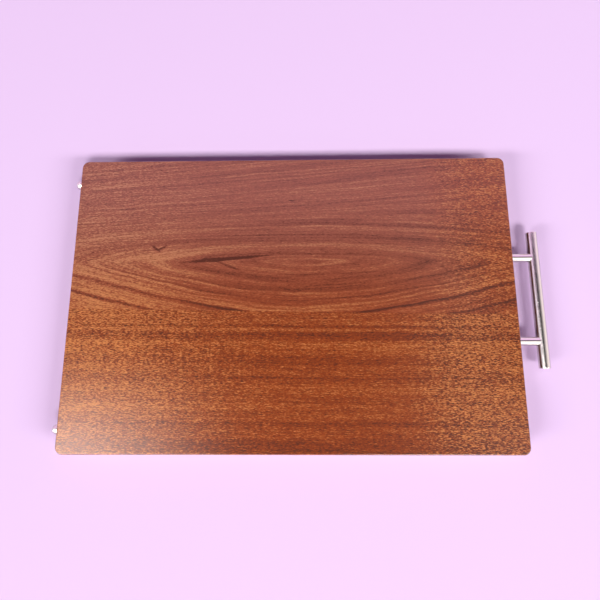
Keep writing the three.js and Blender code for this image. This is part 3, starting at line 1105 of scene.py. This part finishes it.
class TRAY_OT_stage(bpy.types.Operator):
    """Set up the pale table, the soft lights and the camera"""
    bl_idname = "tray.stage"
    bl_label = "Stage"

    def execute(self, context):
        sizes = context.scene.tray_stage
        self.table(sizes)
        self.sky(context.scene)
        for light in SOFT_LIGHTS:
            self.soft_light(*light)
        self.camera(context.scene, sizes)
        context.scene.view_settings.view_transform = "Standard"
        return {"FINISHED"}

    def table(self, sizes):
        start_clean()
        bpy.ops.mesh.primitive_plane_add(size=8, location=(0, 0, CAD_BOX[0].z))
        top = named("table_top")
        settle()
        material, nodes, shader = new_material("pale_table")
        shader.inputs["Base Color"].default_value = (*sizes.floor, 1)
        shader.inputs["Roughness"].default_value = 0.8
        shader.inputs["Specular IOR Level"].default_value = 0.0
        top.data.materials.append(material)

    def sky(self, scene):
        """Dim lilac fill for the shadows, and walls, panels and a backdrop that only reflections see.

        Rightward and rearward are slopes from straight up, so a panel's straight edge stays straight.
        """
        world = bpy.data.worlds.new("studio")
        world.use_nodes = True
        nodes = Nodes(world.node_tree)
        direction = nodes.add("ShaderNodeTexCoord").outputs["Generated"]
        x, y, z = nodes.split(direction)
        height = nodes.calc("MAXIMUM", z, 0.02)
        rightward = nodes.over(x, height)
        rearward = nodes.over(y, height)
        room = nodes.blend_colour(nodes.ease(rightward, -0.20, -0.75), DARK_WALL, GREY_WALL)
        strip_width = nodes.times(nodes.ease(rightward, -1.25, -1.45), nodes.ease(rightward, -2.5, -2.1))
        strip = nodes.times(strip_width, nodes.ease(rearward, 0.0, 0.10))
        room = nodes.blend_colour(strip, room, LEFT_STRIP)
        from_flag = nodes.calc("ABSOLUTE", nodes.minus(rightward, 0.53))
        beside_flag = nodes.calc("MAXIMUM", nodes.ease(rearward, 0.0, -0.12),
                                 nodes.ease(from_flag, 0.08, 0.14))
        right_card = nodes.times(nodes.ease(rightward, 0.12, 0.55), beside_flag)
        room = nodes.blend_colour(right_card, room, RIGHT_CARD)
        front_panel = nodes.times(nodes.ease(rearward, -0.28, -0.50),
                                  nodes.ease(rearward, -4.0, -2.2, 0.25, 1.0))
        room = nodes.blend_colour(front_panel, room, FRONT_PANEL)
        panel_width = nodes.times(nodes.ease(rightward, -0.15, -0.65), nodes.ease(rightward, -1.0, -0.75))
        panel_depth = nodes.calc("POWER", nodes.ease(rearward, 0.12, -0.22), 2.0)
        room = nodes.blend_colour(nodes.times(panel_width, panel_depth), room, LEFT_PANEL)
        backdrop = nodes.times(nodes.ease(rearward, 0.36, 0.40), nodes.ease(rightward, 2.5, 1.2))
        room = nodes.blend_colour(backdrop, room, BACKDROP)
        fill = nodes.blend_colour(front_panel, FILL, FRONT_FILL)
        ray = nodes.add("ShaderNodeLightPath")
        seen = nodes.blend_colour(ray.outputs["Is Glossy Ray"], fill, room)
        seen = nodes.blend_colour(ray.outputs["Is Camera Ray"], seen, HORIZON)
        nodes.feed(world.node_tree.nodes["Background"].inputs["Color"], seen)
        scene.world = world

    def soft_light(self, name, spot, size, power):
        """A level panel that faces straight down, so its edges run along the board's."""
        start_clean()
        bpy.ops.object.light_add(type="AREA", location=spot)
        lamp = bpy.context.object
        lamp.name = name
        lamp.data.shape = "RECTANGLE"
        lamp.data.size, lamp.data.size_y = size
        lamp.data.energy = power
        lamp.data.color = (1.0, 0.985, 0.96)
        lamp.visible_camera = False

    def camera(self, scene, sizes):
        start_clean()
        bpy.ops.object.camera_add(location=(sizes.aside, -sizes.forward, sizes.height))
        eye = bpy.context.object
        eye.data.lens = sizes.lens
        eye.data.sensor_width = 36
        eye.data.clip_start = 0.01
        turn = (Matrix.Rotation(sizes.yaw, 3, "Z") @ Matrix.Rotation(sizes.tilt, 3, "X")
                @ Matrix.Rotation(sizes.roll, 3, "Z"))
        eye.rotation_euler = turn.to_euler()
        scene.camera = eye


PIECE_OPERATORS = (TRAY_OT_stage, TRAY_OT_staves, TRAY_OT_bar, TRAY_OT_posts, TRAY_OT_studs,
                   TRAY_OT_bolts, TRAY_OT_feet, TRAY_OT_screws)


class TRAY_PT_pieces(bpy.types.Panel):
    """Lists the steps that build the serving board"""
    bl_label = "Serving board"
    bl_idname = "TRAY_PT_pieces"
    bl_space_type = "VIEW_3D"
    bl_region_type = "UI"
    bl_category = "Serving board"

    def draw(self, context):
        for operator in PIECE_OPERATORS:
            self.layout.operator(operator.bl_idname)
        for group in SETTINGS:
            for key in SETTINGS[group].__annotations__:
                self.layout.prop(getattr(context.scene, group), key)


SETTINGS = {
    "tray_board": BoardSettings,
    "tray_handle": HandleSettings,
    "tray_hardware": HardwareSettings,
    "tray_finish": FinishSettings,
    "tray_stage": StageSettings,
}


def register():
    for group, kind in SETTINGS.items():
        bpy.utils.register_class(kind)
        setattr(bpy.types.Scene, group, PointerProperty(type=kind))
    for kind in (*PIECE_OPERATORS, TRAY_PT_pieces):
        bpy.utils.register_class(kind)


def unregister():
    for kind in (TRAY_PT_pieces, *reversed(PIECE_OPERATORS)):
        bpy.utils.unregister_class(kind)
    for group, kind in SETTINGS.items():
        delattr(bpy.types.Scene, group)
        bpy.utils.unregister_class(kind)


def main():
    register()
    for make_group in GROUPS:
        make_group()
    bpy.ops.tray.stage()
    bpy.ops.tray.staves()
    bpy.ops.tray.bar()
    bpy.ops.tray.posts()
    bpy.ops.tray.studs()
    bpy.ops.tray.bolts()
    bpy.ops.tray.feet()
    bpy.ops.tray.screws()


if __name__ == "__main__":
    main()
